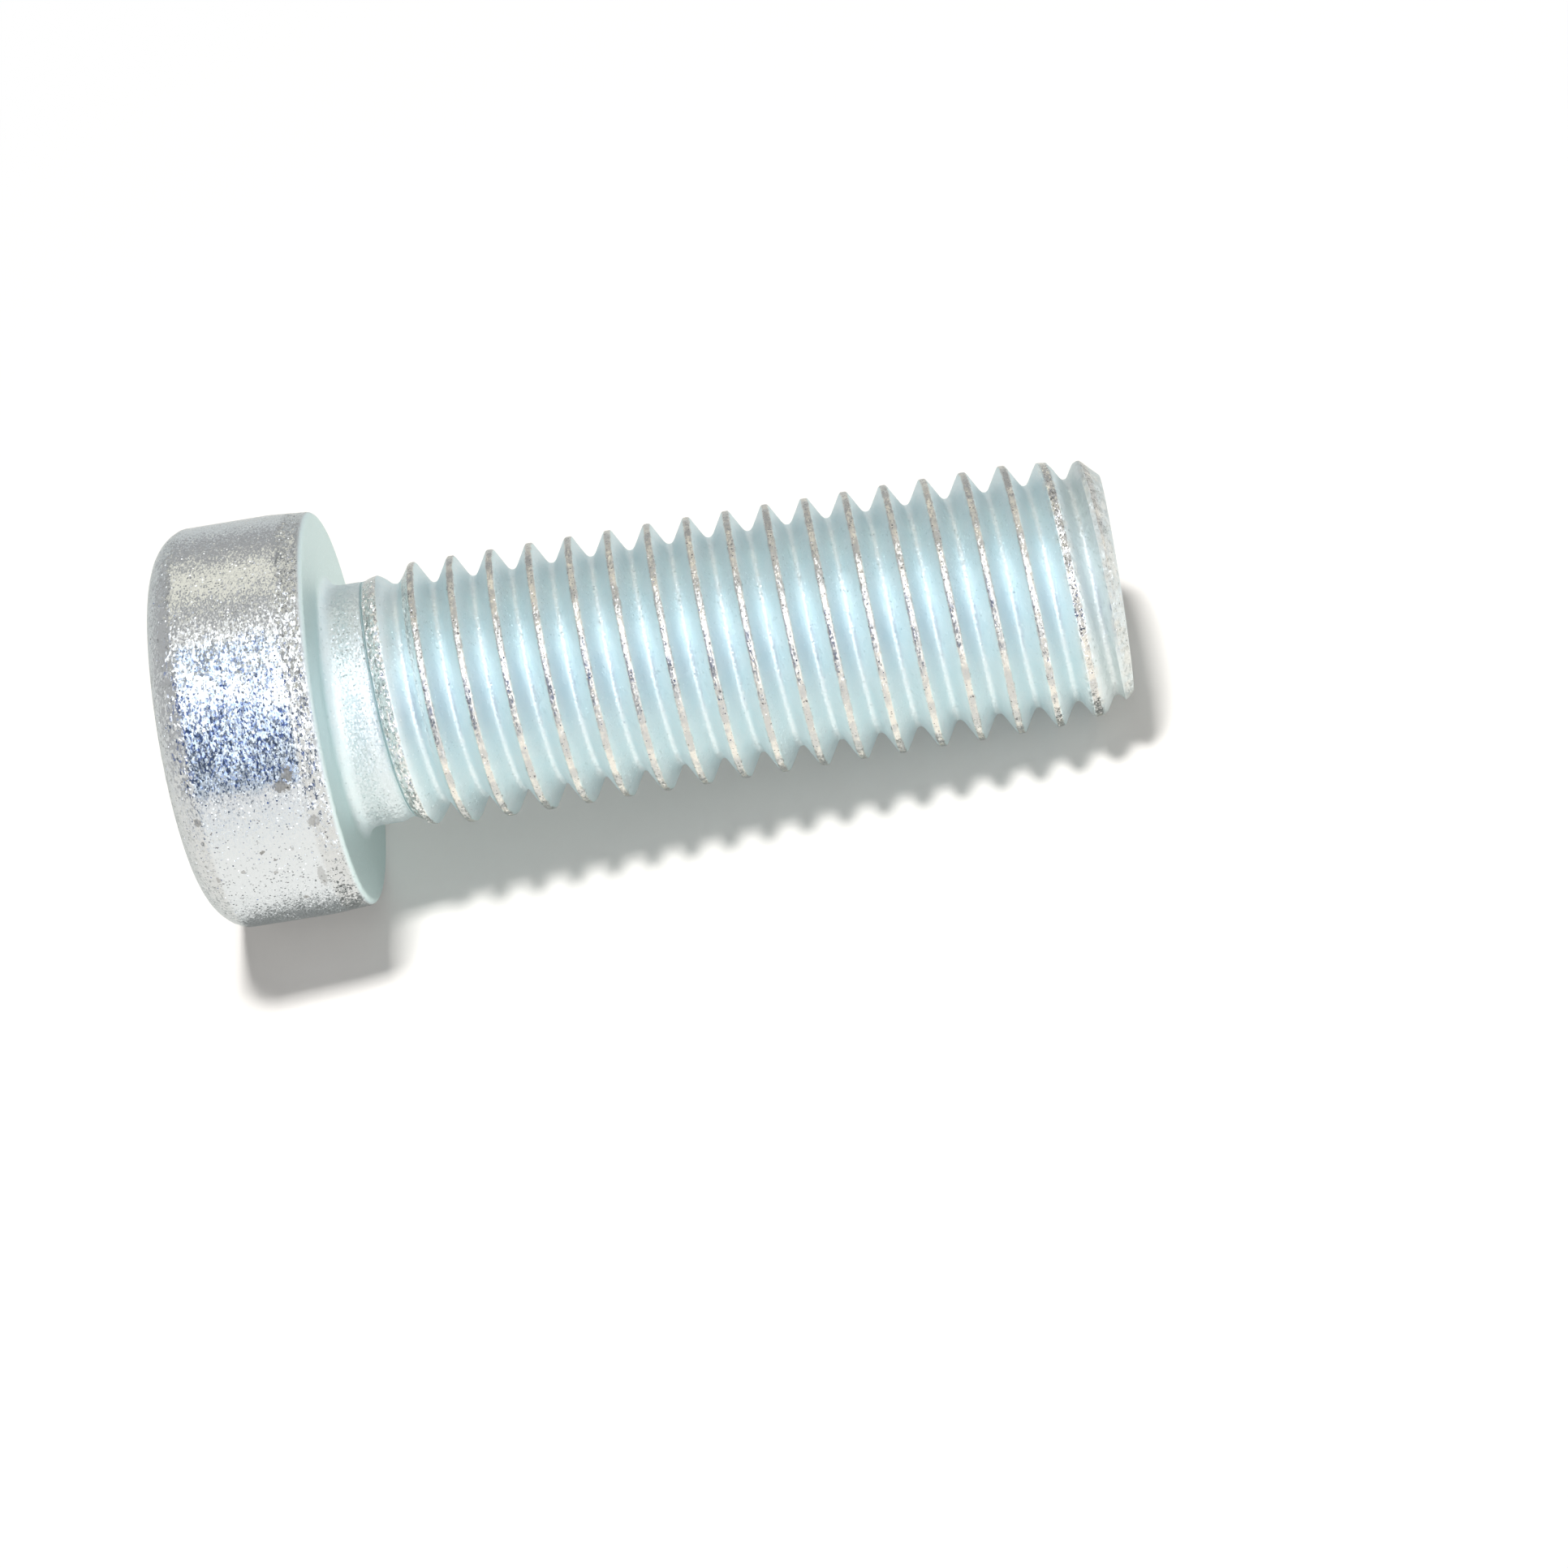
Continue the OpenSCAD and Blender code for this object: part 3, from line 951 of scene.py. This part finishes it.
# %% The background
room = sky.mix(camera_ray, room, rgb(1, 1, 1))
light = sky.mix(seen, rgb(0.26, 0.26, 0.255), room)
back = sky.node("ShaderNodeBackground", None, {"Color": light, "Strength": 1.0})
sky.node("ShaderNodeOutputWorld", None, {"Surface": back})
print("nodes in the world:", len(world.node_tree.nodes))

# %% [markdown]
# ## The lamps
#
# A soft box hangs over the camera's side and is there only to be mirrored. The shadow comes from a
# smaller lamp almost overhead, which the metal doesn't show.


# %% A soft box and a top lamp
def lamp(name, place_m, size, watts):
    """A white area lamp of a size in metres that faces the screw."""
    data = bpy.data.lights.new(name, "AREA")
    data.shape = "RECTANGLE"
    data.size, data.size_y = size
    data.energy = watts
    made = bpy.data.objects.new(name, data)
    bpy.context.collection.objects.link(made)
    made.location = place_m
    made.rotation_euler = Vector(place_m).to_track_quat("Z", "Y").to_euler()
    print(name, "shines with a radiance of", round(watts / (np.pi * size[0] * size[1]), 2))
    return made


soft_box = lamp("soft_box", (0.0, 0.161, 0.420), (0.34, 0.30), 0.43)
soft_box.visible_diffuse = False
top_lamp = lamp("top_lamp", (0.0, 0.03, 0.42), (0.06, 0.06), 1.70)
top_lamp.visible_glossy = False

# %% [markdown]
# ## The camera
#
# The camera stands where the photo was taken from, and looks down on the screw. Its place and its
# three directions were worked out in the screw's frame, from the crests and rims seen in the photo.

# %% The camera
CAMERA_PLACE = np.array([126.7068, 136.6501, 27.117])
CAMERA_RIGHT = np.array([-0.14391, 0.07957, 0.98639])
CAMERA_DOWN = np.array([-0.69551, 0.70092, -0.15802])
CAMERA_AHEAD = np.array([-0.70395, -0.70879, -0.04553])
LENS = 97.295
SENSOR = 36
NEAREST = 0.01
FURTHEST = 10

right, down, ahead = (screw_axes.T @ way for way in (CAMERA_RIGHT, CAMERA_DOWN, CAMERA_AHEAD))
camera_data = bpy.data.cameras.new("camera")
camera_data.lens, camera_data.sensor_width = LENS, SENSOR
camera_data.clip_start, camera_data.clip_end = NEAREST, FURTHEST
camera = bpy.data.objects.new("camera", camera_data)
bpy.context.collection.objects.link(camera)
turn = Matrix([right, -down, -ahead]).transposed().to_4x4()
camera.matrix_world = Matrix.Translation(Vector(place(CAMERA_PLACE))) @ turn
bpy.context.scene.camera = camera
print("the camera looks down by", round(np.degrees(np.arcsin(-ahead[2])), 1), "degrees")

# %% [markdown]
# ## Plain colours
#
# The colours are left plain, so a colour renders as it is written.

# %% Plain colours
bpy.context.scene.view_settings.view_transform = "Standard"
